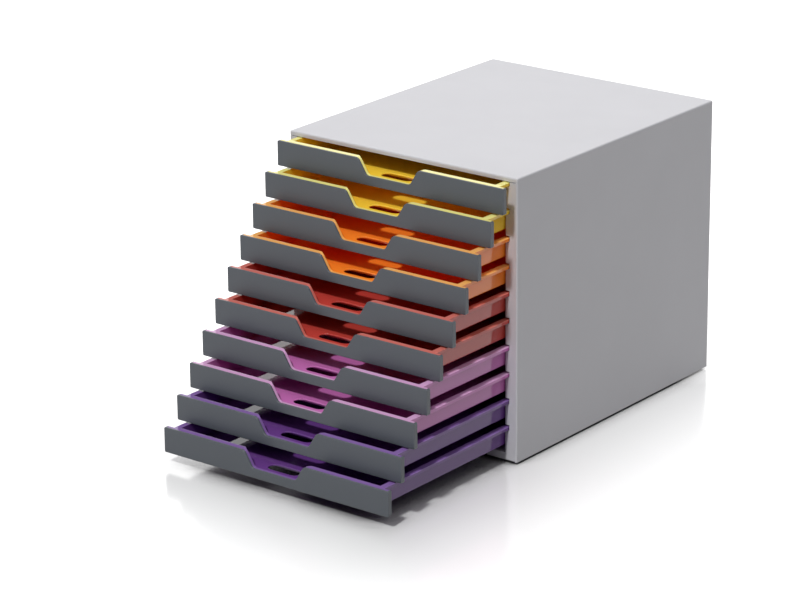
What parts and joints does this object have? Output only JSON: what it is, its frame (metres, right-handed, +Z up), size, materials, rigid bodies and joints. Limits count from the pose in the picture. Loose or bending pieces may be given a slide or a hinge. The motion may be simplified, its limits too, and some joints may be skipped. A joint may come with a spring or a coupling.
{
  "type": "drawer_box",
  "caption": "Desktop drawer box: a pale grey housing with shallow sliding trays in five colours, each behind a dark grey front with a trapezoid finger notch.",
  "frame": {"origin": "Under the middle of the housing, on the surface that it stands on.", "axes": "+Z up, -Y towards the user: the drawers pull out along -Y. +X is the user's right."},
  "size_m": [0.28, 0.541, 0.292],
  "materials": {
    "housing_plastic": "pale grey, fine satin grain",
    "front_plastic": "dark grey, fine grain",
    "yellow_plastic": "glossy yellow",
    "orange_plastic": "glossy orange",
    "red_plastic": "glossy red",
    "pink_plastic": "glossy pink",
    "purple_plastic": "glossy purple",
    "foot_rubber": "black rubber"
  },
  "bodies": {
    "housing": {"base_panel": "housing_plastic", "top_panel": "housing_plastic", "left_side_panel": "housing_plastic", "right_side_panel": "housing_plastic", "left_runner_frame": "housing_plastic", "right_runner_frame": "housing_plastic", "rear_panel": "housing_plastic", "front_left_foot": "foot_rubber", "front_right_foot": "foot_rubber", "rear_left_foot": "foot_rubber", "rear_right_foot": "foot_rubber"},
    "drawer_01": {"tray_01": "yellow_plastic", "drawer_front_01": "front_plastic"},
    "drawer_02": {"tray_02": "yellow_plastic", "drawer_front_02": "front_plastic"},
    "drawer_03": {"tray_03": "orange_plastic", "drawer_front_03": "front_plastic"},
    "drawer_04": {"tray_04": "orange_plastic", "drawer_front_04": "front_plastic"},
    "drawer_05": {"tray_05": "red_plastic", "drawer_front_05": "front_plastic"},
    "drawer_06": {"tray_06": "red_plastic", "drawer_front_06": "front_plastic"},
    "drawer_07": {"tray_07": "pink_plastic", "drawer_front_07": "front_plastic"},
    "drawer_08": {"tray_08": "pink_plastic", "drawer_front_08": "front_plastic"},
    "drawer_09": {"tray_09": "purple_plastic", "drawer_front_09": "front_plastic"},
    "drawer_10": {"tray_10": "purple_plastic", "drawer_front_10": "front_plastic"}
  },
  "joints": [
    {"name": "slide_01", "type": "slide", "parent": "housing", "child": "drawer_01", "axis": [0, -1, 0], "range_m": [-0.0155, 0.2245]},
    {"name": "slide_02", "type": "slide", "parent": "housing", "child": "drawer_02", "axis": [0, -1, 0], "range_m": [-0.0355, 0.2045]},
    {"name": "slide_03", "type": "slide", "parent": "housing", "child": "drawer_03", "axis": [0, -1, 0], "range_m": [-0.0555, 0.1845]},
    {"name": "slide_04", "type": "slide", "parent": "housing", "child": "drawer_04", "axis": [0, -1, 0], "range_m": [-0.0755, 0.1645]},
    {"name": "slide_05", "type": "slide", "parent": "housing", "child": "drawer_05", "axis": [0, -1, 0], "range_m": [-0.0955, 0.1445]},
    {"name": "slide_06", "type": "slide", "parent": "housing", "child": "drawer_06", "axis": [0, -1, 0], "range_m": [-0.1155, 0.1245]},
    {"name": "slide_07", "type": "slide", "parent": "housing", "child": "drawer_07", "axis": [0, -1, 0], "range_m": [-0.1355, 0.1045]},
    {"name": "slide_08", "type": "slide", "parent": "housing", "child": "drawer_08", "axis": [0, -1, 0], "range_m": [-0.1555, 0.0845]},
    {"name": "slide_09", "type": "slide", "parent": "housing", "child": "drawer_09", "axis": [0, -1, 0], "range_m": [-0.1755, 0.0645]},
    {"name": "slide_10", "type": "slide", "parent": "housing", "child": "drawer_10", "axis": [0, -1, 0], "range_m": [-0.1955, 0.0445]}
  ]
}
